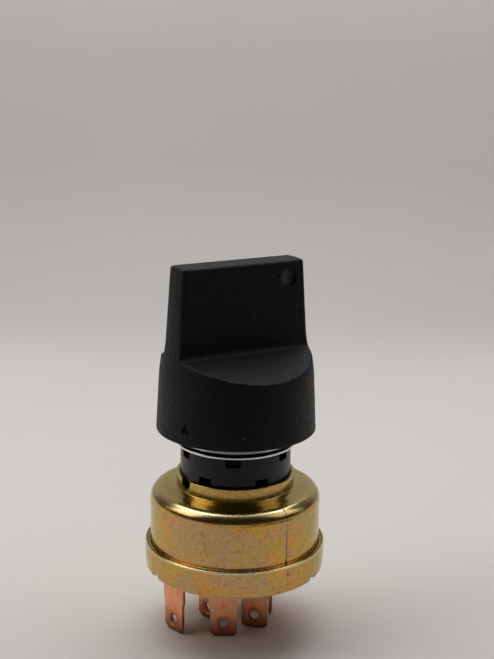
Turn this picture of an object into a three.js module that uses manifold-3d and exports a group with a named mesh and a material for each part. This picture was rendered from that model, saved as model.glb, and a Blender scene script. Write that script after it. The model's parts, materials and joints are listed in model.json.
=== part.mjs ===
// Rotary selector switch for a control panel: a winged knob on a shaft, a plated steel can with the
// contacts inside, and blade terminals underneath.
// Millimetres. The Z axis is the shaft, z = 0 is the plane of the blade tips, and -Y is the front.
import * as THREE from "three";
import { mergeVertices } from "three/addons/utils/BufferGeometryUtils.js";
import Module from "manifold-3d";

const wasm = await Module();
wasm.setup();

// ---------------------------------------------------------------- driving dimensions

// Turned pieces get more sides the larger they are.
const SIDES = { large: 48, medium: 28, small: 16, tiny: 12 };

const BLADE = {
  tipWidth: 6.3,
  shankWidth: 7.1,
  thick: 0.8,
  shankThick: 0.9,
  shoulder: 7.3,
  shoulderRise: 0.5,
  tipCut: 0.8,
  holeRadius: 1.0,
  dishRadius: 1.85,
  dishDepth: 0.12,
  holeHeight: 3.3,
  footLength: 4.6,
  footWidth: 5.6,
};

// Each blade: its middle, the way its width runs, and the side its foot turns to.
const BLADES = {
  battery: { x: -14.0, y: -4.0, turn: -47, foot: 1 },
  ignition: { x: -2.3, y: -6.3, turn: 0, foot: -1 },
  accessory: { x: 5.0, y: -1.8, turn: -8, foot: -1 },
  starter: { x: -6.0, y: 2.3, turn: -41, foot: 1 },
  heater: { x: 9.0, y: 7.3, turn: 88, foot: 1 },
};

const RING = { bottom: 16.4, top: 22.8, radius: 21.05, inner: 20.5, mouth: 17.4, floor: 17.35 };
const BOARD = { bottom: 17.4, top: 20.6, radius: 20.2, slotGap: 0.3 };
const GASKET = { bottom: 20.65, top: 21.45, inner: 18.9, radius: 20.3 };
const CAN = {
  flangeBottom: 21.5,
  flangeTop: 22.3,
  flangeRadius: 20.4,
  radius: 19.8,
  wall: 0.9,
  shoulderBottom: 33.25,
  shoulderFillet: 2.6,
  crown: 36.4,
};
const COLLAR = { radius: 13.75, inner: 12.95, top: 39.5, slotWidth: 3.6, slotBottom: 37.3, slotAt: -55 };
const SPACER = {
  radius: 12.8,
  inner: 11.2,
  bottom: 38.5,
  top: 46.55,
  notches: 6,
  notchMouth: 3.7,
  notchRoot: 3.1,
  topDepth: 2.3,
  bottomDepth: 2.65,
  firstTopNotch: -1.7,
};
const NECK = {
  flangeRadius: 17.6,
  flangeBottom: 34.0,
  flangeTop: 35.0,
  bodyRadius: 12.5,
  bodyTop: 38.5,
  threadRadius: 11.0,
  threadDepth: 0.6,
  pitch: 1.5,
  threads: 7,
  top: 50.2,
  coreInner: 5.2,
  coreOuter: 8.8,
  coreTop: 46.0,
  sealRadius: 4.9,
  sealBottom: 48.0,
};
const NUT = { rim: 13.85, rimBottom: 46.5, rimTop: 47.15, seat: 12.85, inner: 11.2, top: 50.6 };

const SHAFT = {
  radius: 3.0,
  bottom: 24.6,
  top: 67.5,
  flat: 2.2,
  collarRadius: 4.6,
  collarBottom: 30.6,
  collarTop: 33.9,
  driveTop: 30.6,
  headBottom: 51.5,
  grooveBottom: 50.35,
  grooveTop: 51.15,
  grooveRadius: 2.5,
};
const RUNNING_GAP = 0.08;

const CARRIER = {
  radius: 14.5,
  bottom: 24.4,
  top: 30.4,
  hubHalf: 4.3,
  hubBottom: 22.6,
  pocketCircle: 9.5,
  pocketRadius: 1.9,
  pocketTop: 27.4,
  pockets: 3,
};
const STOP = { inner: 12.8, outer: 14.3, fingerHalf: 2.0, top: 32.6, blockHalf: 1.6, margin: 1.0 };
const SWEEP = { start: -80, accessory: 40 };
const DETENT_POSITIONS = [-80, -45, 0, 40];
const DETENT_RING = {
  outer: 18.3,
  wallInner: 17.3,
  crest: 15.0,
  bandBottom: 25.4,
  bandTop: 29.8,
  blockBottom: 30.7,
};
const BALL = { radius: 2.0, reach: 14.9, z: 27.6, travel: 0.5, gap: 0.12, boreEnd: 7.6 };
const BRIDGE = { bottom: 22.4, thick: 1.0, lobeReach: 12.6, lobeHalf: 3.2, hubGap: 0.15, discRadius: 8.0 };
const CONTACT = { radius: 1.7, top: 22.3 };

const KNOB = {
  bottom: 49.9,
  skirtRadius: 18.45,
  rimRadius: 17.65,
  rim: 65.2,
  waistRadius: 16.95,
  waist: 68.6,
  topRadius: 15.7,
  top: 88.6,
  shelf: 68.4,
  footHalfThick: 4.1,
  topHalfThick: 3.45,
  turn: 30,
  wall: 2.2,
  roof: 61.0,
  hubRadius: 5.8,
  hubBottom: 51.7,
  boreGap: 0.12,
  boreTop: 68.0,
};
const CORE = { from: 7.0, to: 13.0, half: 1.6, top: 84.0 };
const DIMPLE = { radius: 2.0, depth: 0.6, fromAxis: 11.3, fromTop: 3.9 };
const MARK = { size: 1.3, depth: 0.4, at: -37, above: 3.8 };
const CLIP = { outer: 5.4, inner: 2.65, bottom: 50.45, top: 51.05, gapHalf: 1.6 };
const TONGUE = { thick: 0.3, halfWidth: 1.3, bottom: 54.0, top: 66.5, lean: 0.12 };

// ---------------------------------------------------------------- materials

const FINISHES = {
  zinc: { color: 0xb09a4e, roughness: 0.38, metalness: 0.9 },
  chrome: { color: 0xd9dde0, roughness: 0.08, metalness: 1.0 },
  copper: { color: 0xb87350, roughness: 0.42, metalness: 0.95 },
  silver: { color: 0xc8c8c4, roughness: 0.3, metalness: 1.0 },
  steel: { color: 0x8d9094, roughness: 0.32, metalness: 1.0 },
  knobPlastic: { color: 0x131314, roughness: 0.55, metalness: 0.0 },
  gloss: { color: 0x101012, roughness: 0.3, metalness: 0.0 },
  board: { color: 0x2a211b, roughness: 0.7, metalness: 0.0 },
  fibre: { color: 0x6b5a45, roughness: 0.9, metalness: 0.0 },
  nylon: { color: 0xd8d2c2, roughness: 0.6, metalness: 0.0 },
  rubber: { color: 0x1b1b1b, roughness: 0.85, metalness: 0.0 },
};

// ---------------------------------------------------------------- solids and helpers

const radians = THREE.MathUtils.degToRad;

// A closed geometry as a solid with its faces pointing out.
function solid(geometry) {
  const bare = geometry.clone();
  bare.deleteAttribute("normal");
  bare.deleteAttribute("uv");
  const merged = mergeVertices(bare, 1e-4);
  const corners = merged.index.array;
  const kept = [];
  for (let i = 0; i < corners.length; i += 3) {
    const [a, b, c] = corners.slice(i, i + 3);
    if (a !== b && b !== c && c !== a) kept.push(a, b, c);
  }
  const vertProperties = new Float32Array(merged.attributes.position.array);
  const build = (triVerts) => new wasm.Manifold(new wasm.Mesh({ numProp: 3, vertProperties, triVerts }));
  const made = build(new Uint32Array(kept));
  if (made.volume() > 0) return made;
  return build(new Uint32Array(kept.reverse()));
}

function geometryOf(body) {
  const { vertProperties, triVerts } = body.getMesh();
  const geometry = new THREE.BufferGeometry();
  geometry.setAttribute("position", new THREE.BufferAttribute(new Float32Array(vertProperties), 3));
  geometry.setIndex(Array.from(triVerts));
  const faceted = geometry.toNonIndexed();
  faceted.computeVertexNormals();
  return faceted;
}

const part = new THREE.Group();

function add(name, body, finish) {
  const mesh = new THREE.Mesh(geometryOf(body), new THREE.MeshStandardMaterial(FINISHES[finish]));
  mesh.name = name;
  part.add(mesh);
}

// A body turned about Z from its outline of [radius, z] corners.
function turned(outline, sides) {
  const corners = outline.map(([r, z]) => new THREE.Vector2(r, z));
  const touchesAxis = outline[0][0] === 0;
  if (!touchesAxis) corners.push(corners[0].clone());
  return solid(new THREE.LatheGeometry(corners, sides).rotateX(Math.PI / 2));
}

function cylinder(radius, bottom, top, sides) {
  return turned(
    [
      [0, bottom],
      [radius, bottom],
      [radius, top],
      [0, top],
    ],
    sides,
  );
}

function tube(outer, inner, bottom, top, sides) {
  return turned(
    [
      [inner, bottom],
      [outer, bottom],
      [outer, top],
      [inner, top],
    ],
    sides,
  );
}

// A box given by its lowest and highest corners.
function box([x0, y0, z0], [x1, y1, z1]) {
  const geometry = new THREE.BoxGeometry(x1 - x0, y1 - y0, z1 - z0);
  return solid(geometry.translate((x0 + x1) / 2, (y0 + y1) / 2, (z0 + z1) / 2));
}

// A flat outline in X and Z, as thick as stated, half on each side of y = 0.
function plate(outline, thick) {
  const shape = new THREE.Shape(outline.map(([x, z]) => new THREE.Vector2(x, z)));
  const geometry = new THREE.ExtrudeGeometry(shape, { depth: thick, bevelEnabled: false });
  return solid(geometry.translate(0, 0, -thick / 2).rotateX(Math.PI / 2));
}

// A cylinder lying along Y, given by its middle.
function crossPin(radius, length, x, y, z, sides) {
  return solid(new THREE.CylinderGeometry(radius, radius, length, sides).translate(x, y, z));
}

function turn(body, degrees) {
  return body.rotate([0, 0, degrees]);
}

// Turns a body that points to the front, -Y, round to a bearing. Positive is to the right.
function toBearing(body, bearing) {
  return turn(body, bearing);
}

function arc(centreR, centreZ, radius, from, to, steps) {
  const points = [];
  for (let i = 0; i <= steps; i += 1) {
    const angle = radians(from + ((to - from) * i) / steps);
    points.push([centreR + radius * Math.cos(angle), centreZ + radius * Math.sin(angle)]);
  }
  return points;
}

// A coil spring about Z. The legs, if any, run out to legRadius over the first part turn.
class Coil extends THREE.Curve {
  constructor(radius, bottom, top, turns, legRadius = radius) {
    super();
    Object.assign(this, { radius, bottom, top, turns, legRadius });
  }

  getPoint(t, target = new THREE.Vector3()) {
    const legShare = 0.12;
    const out = Math.max(0, 1 - t / legShare);
    const r = this.radius + (this.legRadius - this.radius) * out * out;
    const angle = 2 * Math.PI * this.turns * t;
    return target.set(r * Math.cos(angle), r * Math.sin(angle), this.bottom + (this.top - this.bottom) * t);
  }
}

function spring(coil, wireRadius, stepsPerTurn) {
  const section = new THREE.Shape();
  section.absarc(0, 0, wireRadius, 0, 2 * Math.PI);
  const steps = Math.round(coil.turns * stepsPerTurn);
  return solid(
    new THREE.ExtrudeGeometry(section, { steps, curveSegments: 3, bevelEnabled: false, extrudePath: coil }),
  );
}

// ---------------------------------------------------------------- housing

function housingCan() {
  const { wall, shoulderBottom: bend, shoulderFillet: fillet } = CAN;
  const bendRadius = CAN.radius - fillet;
  const inside = CAN.radius - wall;
  const top = bend + fillet;
  const shell = turned(
    [
      [inside, CAN.flangeBottom],
      [CAN.flangeRadius, CAN.flangeBottom],
      [CAN.flangeRadius, CAN.flangeTop],
      [CAN.radius + 0.15, CAN.flangeTop],
      [CAN.radius, CAN.flangeTop + 0.3],
      ...arc(bendRadius, bend, fillet, 0, 90, 5),
      [COLLAR.radius + 0.9, CAN.crown - 0.2],
      [COLLAR.radius + 0.3, CAN.crown],
      [COLLAR.radius, CAN.crown + 0.3],
      [COLLAR.radius, COLLAR.top],
      [COLLAR.inner, COLLAR.top],
      [COLLAR.inner, CAN.crown - wall],
      ...arc(bendRadius, bend, fillet - wall, 90, 0, 2),
    ],
    SIDES.large,
  );
  const half = COLLAR.slotWidth / 2;
  const middle = -(COLLAR.radius + COLLAR.inner) / 2;
  const slotTop = box([-half, middle - 1, COLLAR.slotBottom + half], [half, middle + 1, COLLAR.top + 1]);
  const slotEnd = crossPin(half, 2, 0, middle, COLLAR.slotBottom + half, SIDES.tiny);
  return shell.subtract(toBearing(slotTop.add(slotEnd), COLLAR.slotAt));
}

function crimpRing() {
  const { bottom, top, radius, inner, mouth, floor } = RING;
  const bead = inner - 0.25;
  return turned(
    [
      [mouth, bottom + 0.4],
      [mouth + 0.3, bottom],
      [radius - 0.5, bottom],
      [radius - 0.2, bottom + 0.4],
      [radius, bottom + 3.0],
      [radius, top - 0.35],
      [radius - 0.3, top],
      [inner + 0.15, top],
      [bead, top - 0.25],
      [bead, CAN.flangeTop + 0.1],
      [inner, CAN.flangeTop + 0.02],
      [inner, floor],
      [mouth + 0.2, floor],
    ],
    SIDES.large,
  );
}

// The stamped blade, upright with its tip down. The shank is a little thicker than the tab.
function bladeBody() {
  const tip = BLADE.tipWidth / 2;
  const shank = BLADE.shankWidth / 2;
  const { shoulder, shoulderRise, tipCut, thick, shankThick, holeHeight } = BLADE;
  const shankBottom = shoulder + shoulderRise;
  const shankTop = BOARD.top + thick;
  const tab = plate(
    [
      [-tip + tipCut, 0],
      [tip - tipCut, 0],
      [tip, tipCut],
      [tip, shankBottom + 1],
      [-tip, shankBottom + 1],
      [-tip, tipCut],
    ],
    thick,
  );
  const upper = plate(
    [
      [-tip, shoulder],
      [tip, shoulder],
      [shank, shankBottom],
      [shank, shankTop],
      [-shank, shankTop],
      [-shank, shankBottom],
    ],
    shankThick,
  );
  const hole = crossPin(BLADE.holeRadius, 2 * thick, 0, 0, holeHeight, SIDES.tiny);
  const dish = crossPin(BLADE.dishRadius, 2 * BLADE.dishDepth, 0, -thick / 2, holeHeight, SIDES.tiny);
  return tab.add(upper).subtract(hole).subtract(dish);
}

function bladeFoot(side) {
  const half = BLADE.footWidth / 2;
  const [near, far] = side > 0 ? [0, BLADE.footLength] : [-BLADE.footLength, 0];
  return box([-half, near, BOARD.top], [half, far, BOARD.top + BLADE.thick]);
}

function placeBlade(body, { x, y, turn: degrees }) {
  return turn(body, degrees).translate([x, y, 0]);
}

function blade(spec) {
  return placeBlade(bladeBody().add(bladeFoot(spec.foot)), spec);
}

// The silver rivet head that stands on the foot.
function contact(spec) {
  const foot = BOARD.top + BLADE.thick;
  const head = turned(
    [
      [0, foot],
      [CONTACT.radius, foot],
      [CONTACT.radius, foot + 0.4],
      [CONTACT.radius - 0.6, CONTACT.top],
      [0, CONTACT.top],
    ],
    SIDES.small,
  );
  const middle = spec.foot * (BLADE.footLength / 2 + 0.2);
  return placeBlade(head.translate([0, middle, 0]), spec);
}

function terminalBoard() {
  let board = cylinder(BOARD.radius, BOARD.bottom, BOARD.top, SIDES.large);
  const half = BLADE.shankWidth / 2 + BOARD.slotGap;
  const gap = BLADE.shankThick / 2 + BOARD.slotGap;
  const slot = box([-half, -gap, BOARD.bottom - 1], [half, gap, BOARD.top + 1]);
  for (const spec of Object.values(BLADES)) {
    board = board.subtract(placeBlade(slot, spec));
  }
  return board;
}

function neckBushing() {
  const { threadRadius, threadDepth, pitch, threads } = NECK;
  const root = threadRadius - threadDepth;
  const bore = SHAFT.radius + RUNNING_GAP;
  const ridges = [];
  for (let i = 0; i < threads; i += 1) {
    const z = NECK.bodyTop + 0.6 + i * pitch;
    ridges.push([root, z], [threadRadius, z + pitch / 2]);
  }
  return turned(
    [
      [bore, NECK.flangeBottom],
      [NECK.coreInner, NECK.flangeBottom],
      [NECK.coreInner, NECK.coreTop],
      [NECK.coreOuter, NECK.coreTop],
      [NECK.coreOuter, NECK.flangeBottom],
      [NECK.flangeRadius, NECK.flangeBottom],
      [NECK.flangeRadius, NECK.flangeBottom + 0.6],
      [NECK.flangeRadius - 1.1, NECK.flangeTop],
      [NECK.bodyRadius, NECK.flangeTop],
      [NECK.bodyRadius, NECK.bodyTop],
      [root, NECK.bodyTop],
      ...ridges,
      [root, NECK.top - 0.3],
      [root - 0.3, NECK.top],
      [NECK.sealRadius, NECK.top],
      [NECK.sealRadius, NECK.sealBottom],
      [bore, NECK.sealBottom],
    ],
    SIDES.medium,
  );
}

// A castellation, pointing to the front: a trapezium that narrows from its mouth to its root.
function castellation(mouth, root) {
  const outline = [
    [-SPACER.notchMouth / 2, mouth],
    [SPACER.notchMouth / 2, mouth],
    [SPACER.notchRoot / 2, root],
    [-SPACER.notchRoot / 2, root],
  ];
  const reach = 4;
  return plate(outline, reach).translate([0, -SPACER.radius, 0]);
}

function panelSpacer() {
  let sleeve = tube(SPACER.radius, SPACER.inner, SPACER.bottom, SPACER.top, SIDES.large);
  const topCut = castellation(SPACER.top + 0.5, SPACER.top - SPACER.topDepth);
  const bottomCut = castellation(SPACER.bottom - 0.5, SPACER.bottom + SPACER.bottomDepth);
  const step = 360 / SPACER.notches;
  for (let i = 0; i < SPACER.notches; i += 1) {
    const bearing = SPACER.firstTopNotch + i * step;
    sleeve = sleeve.subtract(toBearing(topCut, bearing));
    sleeve = sleeve.subtract(toBearing(bottomCut, bearing + step / 2));
  }
  return sleeve;
}

function bezelNut() {
  return turned(
    [
      [NUT.inner, SPACER.top],
      [NUT.seat, SPACER.top],
      [NUT.seat, NUT.rimBottom],
      [NUT.rim - 0.2, NUT.rimBottom],
      [NUT.rim, NUT.rimBottom + 0.2],
      [NUT.rim, NUT.rimTop],
      [NUT.rim - 0.35, NUT.rimTop + 0.35],
      [NUT.rim - 0.8, NUT.rimTop + 1.6],
      [NUT.rim - 1.5, NUT.top - 0.4],
      [NUT.rim - 2.0, NUT.top],
      [NUT.inner, NUT.top],
    ],
    SIDES.large,
  );
}

// The ring that gives the knob its positions: notches for the balls, and two blocks that stop the turn.
function detentRing() {
  const { outer, wallInner, crest, bandBottom, bandTop, blockBottom } = DETENT_RING;
  let ring = turned(
    [
      [wallInner, BOARD.top],
      [outer, BOARD.top],
      [outer, NECK.flangeBottom],
      [wallInner, NECK.flangeBottom],
      [wallInner, bandTop],
      [crest, bandTop],
      [crest, bandBottom],
      [wallInner, bandBottom],
    ],
    SIDES.large,
  );
  const notchRadius = BALL.radius + BALL.gap;
  const notchMiddle = BALL.reach - BALL.radius + BALL.travel;
  const notch = cylinder(notchRadius, bandBottom - 1, bandTop + 1, SIDES.small);
  for (const position of DETENT_POSITIONS) {
    for (const side of [0, 180]) {
      ring = ring.subtract(turn(notch.translate([notchMiddle, 0, 0]), side + position));
    }
  }
  const block = box([STOP.inner, -STOP.blockHalf, blockBottom], [outer - 0.6, STOP.blockHalf, STOP.top]);
  const reach = degreesAcross(STOP.fingerHalf) + degreesAcross(STOP.blockHalf) + STOP.margin;
  ring = ring.add(turn(block, 90 + SWEEP.accessory + reach));
  return ring.add(turn(block, 90 + SWEEP.start - reach));
}

// The angle that a half width takes up at the stops' inner radius.
function degreesAcross(halfWidth) {
  return THREE.MathUtils.radToDeg(Math.asin(halfWidth / STOP.inner));
}

// ---------------------------------------------------------------- rotor

// A round rod with one flat, facing +X.
function flattedRod(radius, flat, bottom, top) {
  const rod = cylinder(radius, bottom, top, SIDES.small);
  return rod.subtract(box([flat, -radius, bottom - 1], [radius + 1, radius, top + 1]));
}

function shaft() {
  const { radius, flat } = SHAFT;
  const foot = flattedRod(radius, flat, SHAFT.bottom, SHAFT.driveTop);
  const collar = cylinder(SHAFT.collarRadius, SHAFT.collarBottom, SHAFT.collarTop, SIDES.small);
  const shank = turned(
    [
      [0, SHAFT.collarBottom],
      [radius, SHAFT.collarBottom],
      [radius, SHAFT.grooveBottom],
      [SHAFT.grooveRadius, SHAFT.grooveBottom],
      [SHAFT.grooveRadius, SHAFT.grooveTop],
      [radius, SHAFT.grooveTop],
      [radius, SHAFT.headBottom],
      [0, SHAFT.headBottom],
    ],
    SIDES.small,
  );
  const head = flattedRod(radius, flat, SHAFT.headBottom, SHAFT.top);
  return foot.add(collar).add(shank).add(head);
}

function shaftClip() {
  const ring = tube(CLIP.outer, CLIP.inner, CLIP.bottom, CLIP.top, SIDES.small);
  const gap = box([0, -CLIP.gapHalf, CLIP.bottom - 1], [CLIP.outer + 1, CLIP.gapHalf, CLIP.top + 1]);
  return ring.subtract(gap);
}

function shaftSeal() {
  const inner = SHAFT.radius + 0.1;
  const outer = NECK.sealRadius - 0.1;
  const middle = (inner + outer) / 2;
  const z = (NECK.sealBottom + NECK.top) / 2;
  const ring = new THREE.TorusGeometry(middle, (outer - inner) / 2, 8, SIDES.small);
  return solid(ring.translate(0, 0, z));
}

function contactCarrier() {
  const disc = cylinder(CARRIER.radius, CARRIER.bottom, CARRIER.top, SIDES.medium);
  const half = CARRIER.hubHalf;
  const hub = box([-half, -half, CARRIER.hubBottom], [half, half, CARRIER.bottom + 1]);
  const finger = box(
    [-STOP.fingerHalf, STOP.inner, CARRIER.top - 1],
    [STOP.fingerHalf, STOP.outer, STOP.top],
  );
  const bore = flattedRod(SHAFT.radius + 0.1, SHAFT.flat + 0.1, SHAFT.bottom - 0.1, CARRIER.top + 1);
  let carrier = disc.add(hub).add(finger).subtract(turn(bore, KNOB.turn));
  const boreLength = CARRIER.radius + 1 - BALL.boreEnd;
  const boreMiddle = BALL.boreEnd + boreLength / 2;
  const ballBore = crossPin(BALL.radius + 0.1, boreLength, 0, boreMiddle, BALL.z, SIDES.small);
  carrier = carrier.subtract(turn(ballBore, -90)).subtract(turn(ballBore, 90));
  const pocket = cylinder(CARRIER.pocketRadius, CARRIER.bottom - 1, CARRIER.pocketTop, SIDES.small);
  for (const bearing of pocketBearings()) {
    carrier = carrier.subtract(turn(pocket.translate([CARRIER.pocketCircle, 0, 0]), bearing));
  }
  return carrier;
}

function pocketBearings() {
  const step = 360 / CARRIER.pockets;
  return Array.from({ length: CARRIER.pockets }, (_, i) => 90 + i * step);
}

function contactBridge() {
  const top = BRIDGE.bottom + BRIDGE.thick;
  let bridge = cylinder(BRIDGE.discRadius, BRIDGE.bottom, top, SIDES.medium);
  const lobe = box([0, -BRIDGE.lobeHalf, BRIDGE.bottom], [BRIDGE.lobeReach, BRIDGE.lobeHalf, top]);
  for (const bearing of pocketBearings()) {
    bridge = bridge.add(turn(lobe, bearing));
  }
  const half = CARRIER.hubHalf + BRIDGE.hubGap;
  return bridge.subtract(box([-half, -half, BRIDGE.bottom - 1], [half, half, top + 1]));
}

function bridgeSpring(bearing) {
  const wire = 0.22;
  const bottom = BRIDGE.bottom + BRIDGE.thick + wire + 0.05;
  const coil = new Coil(1.35, bottom, CARRIER.pocketTop - wire - 0.05, 4);
  return turn(spring(coil, wire, 9).translate([CARRIER.pocketCircle, 0, 0]), bearing);
}

function detentBall(side) {
  const ball = new THREE.SphereGeometry(BALL.radius, SIDES.tiny, 8);
  return turn(solid(ball.translate(BALL.reach - BALL.radius, 0, BALL.z)), side);
}

function detentSpring(side) {
  const wire = 0.22;
  const from = BALL.boreEnd + wire + 0.05;
  const to = BALL.reach - 2 * BALL.radius - wire - 0.05;
  const upright = spring(new Coil(1.3, from, to, 3), wire, 9);
  return turn(upright.rotate([0, 90, 0]).translate([0, 0, BALL.z]), side);
}

function returnSpring() {
  const wire = 0.45;
  const bottom = CARRIER.top + wire + 0.1;
  const top = NECK.flangeBottom - wire - 0.1;
  return turn(spring(new Coil(7.2, bottom, top, 2.2, STOP.inner - 1), wire, 14), 105);
}

// ---------------------------------------------------------------- knob

// Height of the scooped shelf, by its distance in front of or behind the wing.
function shelfHeight(distance) {
  const past = distance - KNOB.footHalfThick;
  return KNOB.shelf - 0.235 * past - 0.003 * past * past;
}

// The knob seen along its wing: the wing stands on two shelves that fall away from it.
function wingSection() {
  const wide = 20;
  const steps = 6;
  const right = [];
  for (let i = 0; i <= steps; i += 1) {
    const distance = wide - ((wide - KNOB.footHalfThick) * i) / steps;
    right.push([distance, shelfHeight(distance)]);
  }
  const left = right.map(([x, z]) => [-x, z]).reverse();
  const low = KNOB.bottom - 1;
  return [
    [-wide, low],
    [wide, low],
    ...right,
    [KNOB.topHalfThick, KNOB.top],
    [-KNOB.topHalfThick, KNOB.top],
    ...left,
  ];
}

// The ends of the wing carry on the slope of the skirt, so one turned body gives both.
function knobOutside() {
  const whole = turned(
    [
      [0, KNOB.bottom],
      [KNOB.skirtRadius - 0.3, KNOB.bottom],
      [KNOB.skirtRadius, KNOB.bottom + 0.3],
      [KNOB.rimRadius, KNOB.rim],
      [KNOB.waistRadius, KNOB.waist],
      [KNOB.topRadius, KNOB.top],
      [KNOB.topRadius, KNOB.top + 1],
      [0, KNOB.top + 1],
    ],
    SIDES.large,
  );
  const section = turn(plate(wingSection(), 4 * KNOB.skirtRadius), 90);
  return whole.intersect(section);
}

function knobHollow() {
  const draft = 0.9;
  const mouth = KNOB.skirtRadius - KNOB.wall;
  const cavity = turned(
    [
      [0, KNOB.bottom - 1],
      [mouth, KNOB.bottom - 1],
      [mouth - draft, KNOB.roof],
      [0, KNOB.roof],
    ],
    SIDES.large,
  );
  const hub = cylinder(KNOB.hubRadius, KNOB.hubBottom, KNOB.roof + 1, SIDES.small);
  const bore = flattedRod(
    SHAFT.radius + KNOB.boreGap,
    SHAFT.flat + TONGUE.thick + 0.3,
    KNOB.hubBottom - 1,
    KNOB.boreTop,
  );
  const core = box([CORE.from, -CORE.half, KNOB.roof - 1], [CORE.to, CORE.half, CORE.top]);
  return cavity.subtract(hub).add(bore).add(core).add(turn(core, 180));
}

// The round dimple that marks the pointing end, and the small triangle low on the skirt.
function knobMarks() {
  const face = KNOB.topHalfThick + 0.12;
  const dimple = crossPin(
    DIMPLE.radius,
    2 * DIMPLE.depth,
    DIMPLE.fromAxis,
    -face,
    KNOB.top - DIMPLE.fromTop,
    SIDES.small,
  );
  const z = KNOB.bottom + MARK.above;
  const triangle = plate(
    [
      [-MARK.size, z - MARK.size * 0.8],
      [MARK.size, z - MARK.size * 0.8],
      [0, z + MARK.size],
    ],
    2 * MARK.depth,
  ).translate([0, -KNOB.skirtRadius + 0.3, 0]);
  return dimple.add(toBearing(triangle, MARK.at - KNOB.turn));
}

function knob() {
  return turn(knobOutside().subtract(knobHollow()).subtract(knobMarks()), KNOB.turn);
}

// A strip of spring steel that grips the flat of the shaft inside the knob.
function gripTongue() {
  const near = SHAFT.flat + TONGUE.lean;
  const strip = box(
    [near, -TONGUE.halfWidth, TONGUE.bottom],
    [near + TONGUE.thick, TONGUE.halfWidth, TONGUE.top],
  );
  return turn(strip, KNOB.turn);
}

// ---------------------------------------------------------------- assembly

add("housing_can", housingCan(), "zinc");
add("crimp_ring", crimpRing(), "zinc");
add("terminal_board", terminalBoard(), "board");
add("board_gasket", tube(GASKET.radius, GASKET.inner, GASKET.bottom, GASKET.top, SIDES.medium), "fibre");
add("neck_bushing", neckBushing(), "gloss");
add("detent_ring", detentRing(), "nylon");
add("panel_spacer", panelSpacer(), "gloss");
add("bezel_nut", bezelNut(), "chrome");
add("shaft_seal", shaftSeal(), "rubber");
for (const [name, spec] of Object.entries(BLADES)) {
  add(`${name}_blade`, blade(spec), "copper");
  add(`${name}_contact`, contact(spec), "silver");
}

add("shaft", turn(shaft(), KNOB.turn), "steel");
add("shaft_clip", shaftClip(), "steel");
add("contact_carrier", contactCarrier(), "nylon");
add("contact_bridge", contactBridge(), "copper");
pocketBearings().forEach((bearing, i) => {
  add(`bridge_spring_${i + 1}`, bridgeSpring(bearing), "steel");
});
[0, 180].forEach((side, i) => {
  add(`detent_ball_${i + 1}`, detentBall(side), "steel");
  add(`detent_spring_${i + 1}`, detentSpring(side), "steel");
});
add("return_spring", returnSpring(), "steel");
add("knob", knob(), "knobPlastic");
add("knob_clip", gripTongue(), "steel");

export default part;
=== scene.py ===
import json
import math

import bpy
import numpy as np
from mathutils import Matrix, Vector


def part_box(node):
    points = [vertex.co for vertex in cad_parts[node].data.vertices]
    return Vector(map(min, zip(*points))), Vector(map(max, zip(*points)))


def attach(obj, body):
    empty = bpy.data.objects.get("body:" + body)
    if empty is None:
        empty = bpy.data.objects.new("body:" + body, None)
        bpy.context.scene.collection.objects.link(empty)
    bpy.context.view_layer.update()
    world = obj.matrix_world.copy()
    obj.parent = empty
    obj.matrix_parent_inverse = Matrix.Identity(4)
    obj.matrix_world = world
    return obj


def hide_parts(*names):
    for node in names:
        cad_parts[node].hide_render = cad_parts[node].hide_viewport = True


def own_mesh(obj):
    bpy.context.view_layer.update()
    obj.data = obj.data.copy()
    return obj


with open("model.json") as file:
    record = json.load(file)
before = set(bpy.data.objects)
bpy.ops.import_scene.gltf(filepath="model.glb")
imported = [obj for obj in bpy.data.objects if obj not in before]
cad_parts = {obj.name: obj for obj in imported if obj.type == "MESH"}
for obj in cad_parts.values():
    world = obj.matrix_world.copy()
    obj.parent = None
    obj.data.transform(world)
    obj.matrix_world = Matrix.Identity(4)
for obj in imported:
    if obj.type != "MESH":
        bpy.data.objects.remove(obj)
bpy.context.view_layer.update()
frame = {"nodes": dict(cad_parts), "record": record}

# Looks for the rotary selector switch. Lengths are millimetres until a mesh is made, and metres in
# the studio. Bearings are degrees round the shaft, 0 at the front, positive to the right.

MM = 0.001

# ------------------------------------------------------------------ shapes of the pieces

KNOB = {
    "turn": 30,
    "rim": 65.2,
    "rim_radius": 17.65,
    "waist": 68.6,
    "waist_radius": 16.95,
    "top_radius": 15.7,
    "shelf": 68.4,
    "shelf_slope": 0.235,
    "shelf_bend": 0.003,
    "shelf_scale": 0.96,
    "foot_half_thick": 4.1,
    "top_half_thick": 3.45,
    "edge": 0.75,
    "foot_fillet": 0.95,
    "shelf_edge": 0.4,
    "shelf_edge_height": 0.8,
    "edge_grows_over": 2.5,
    "side_ease": 0.5,
    "bottom_edge": 0.35,
    "wall": 2.2,
    "draft": 0.9,
    "roof": 61.0,
    "roof_fillet": 1.0,
    "hub_radius": 5.8,
    "hub_bottom": 51.7,
    "hub_fillet": 0.5,
    "hub_edge": 0.2,
    "mouth_edge": 0.3,
    "bore_radius": 3.14,
    "bore_flat": 2.85,
    "bore_top": 68.0,
    "bore_end": 0.2,
    "bore_edge": 0.1,
    "core_from": 7.0,
    "core_to": 13.0,
    "core_half": 1.6,
    "core_top": 84.0,
    "core_corner": 0.3,
    "core_edge": 0.15,
    "mesh_step": 0.36,
}
DIMPLE = {
    "radius": 2.0,
    "depth": 0.66,
    "dish": 7.0,
    "from_axis": 11.3,
    "from_top": 3.9,
    "face_out": 0.12,
    "edge": 0.14,
    "foot_edge": 0.15,
}
MARK = {
    "half": 1.2,
    "depth": 0.5,
    "bearing": -37,
    "above": 3.8,
    "lean": 0.55,
    "side_scale": 0.88,
    "inset": 0.35,
    "edge": 0.06,
}

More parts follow.
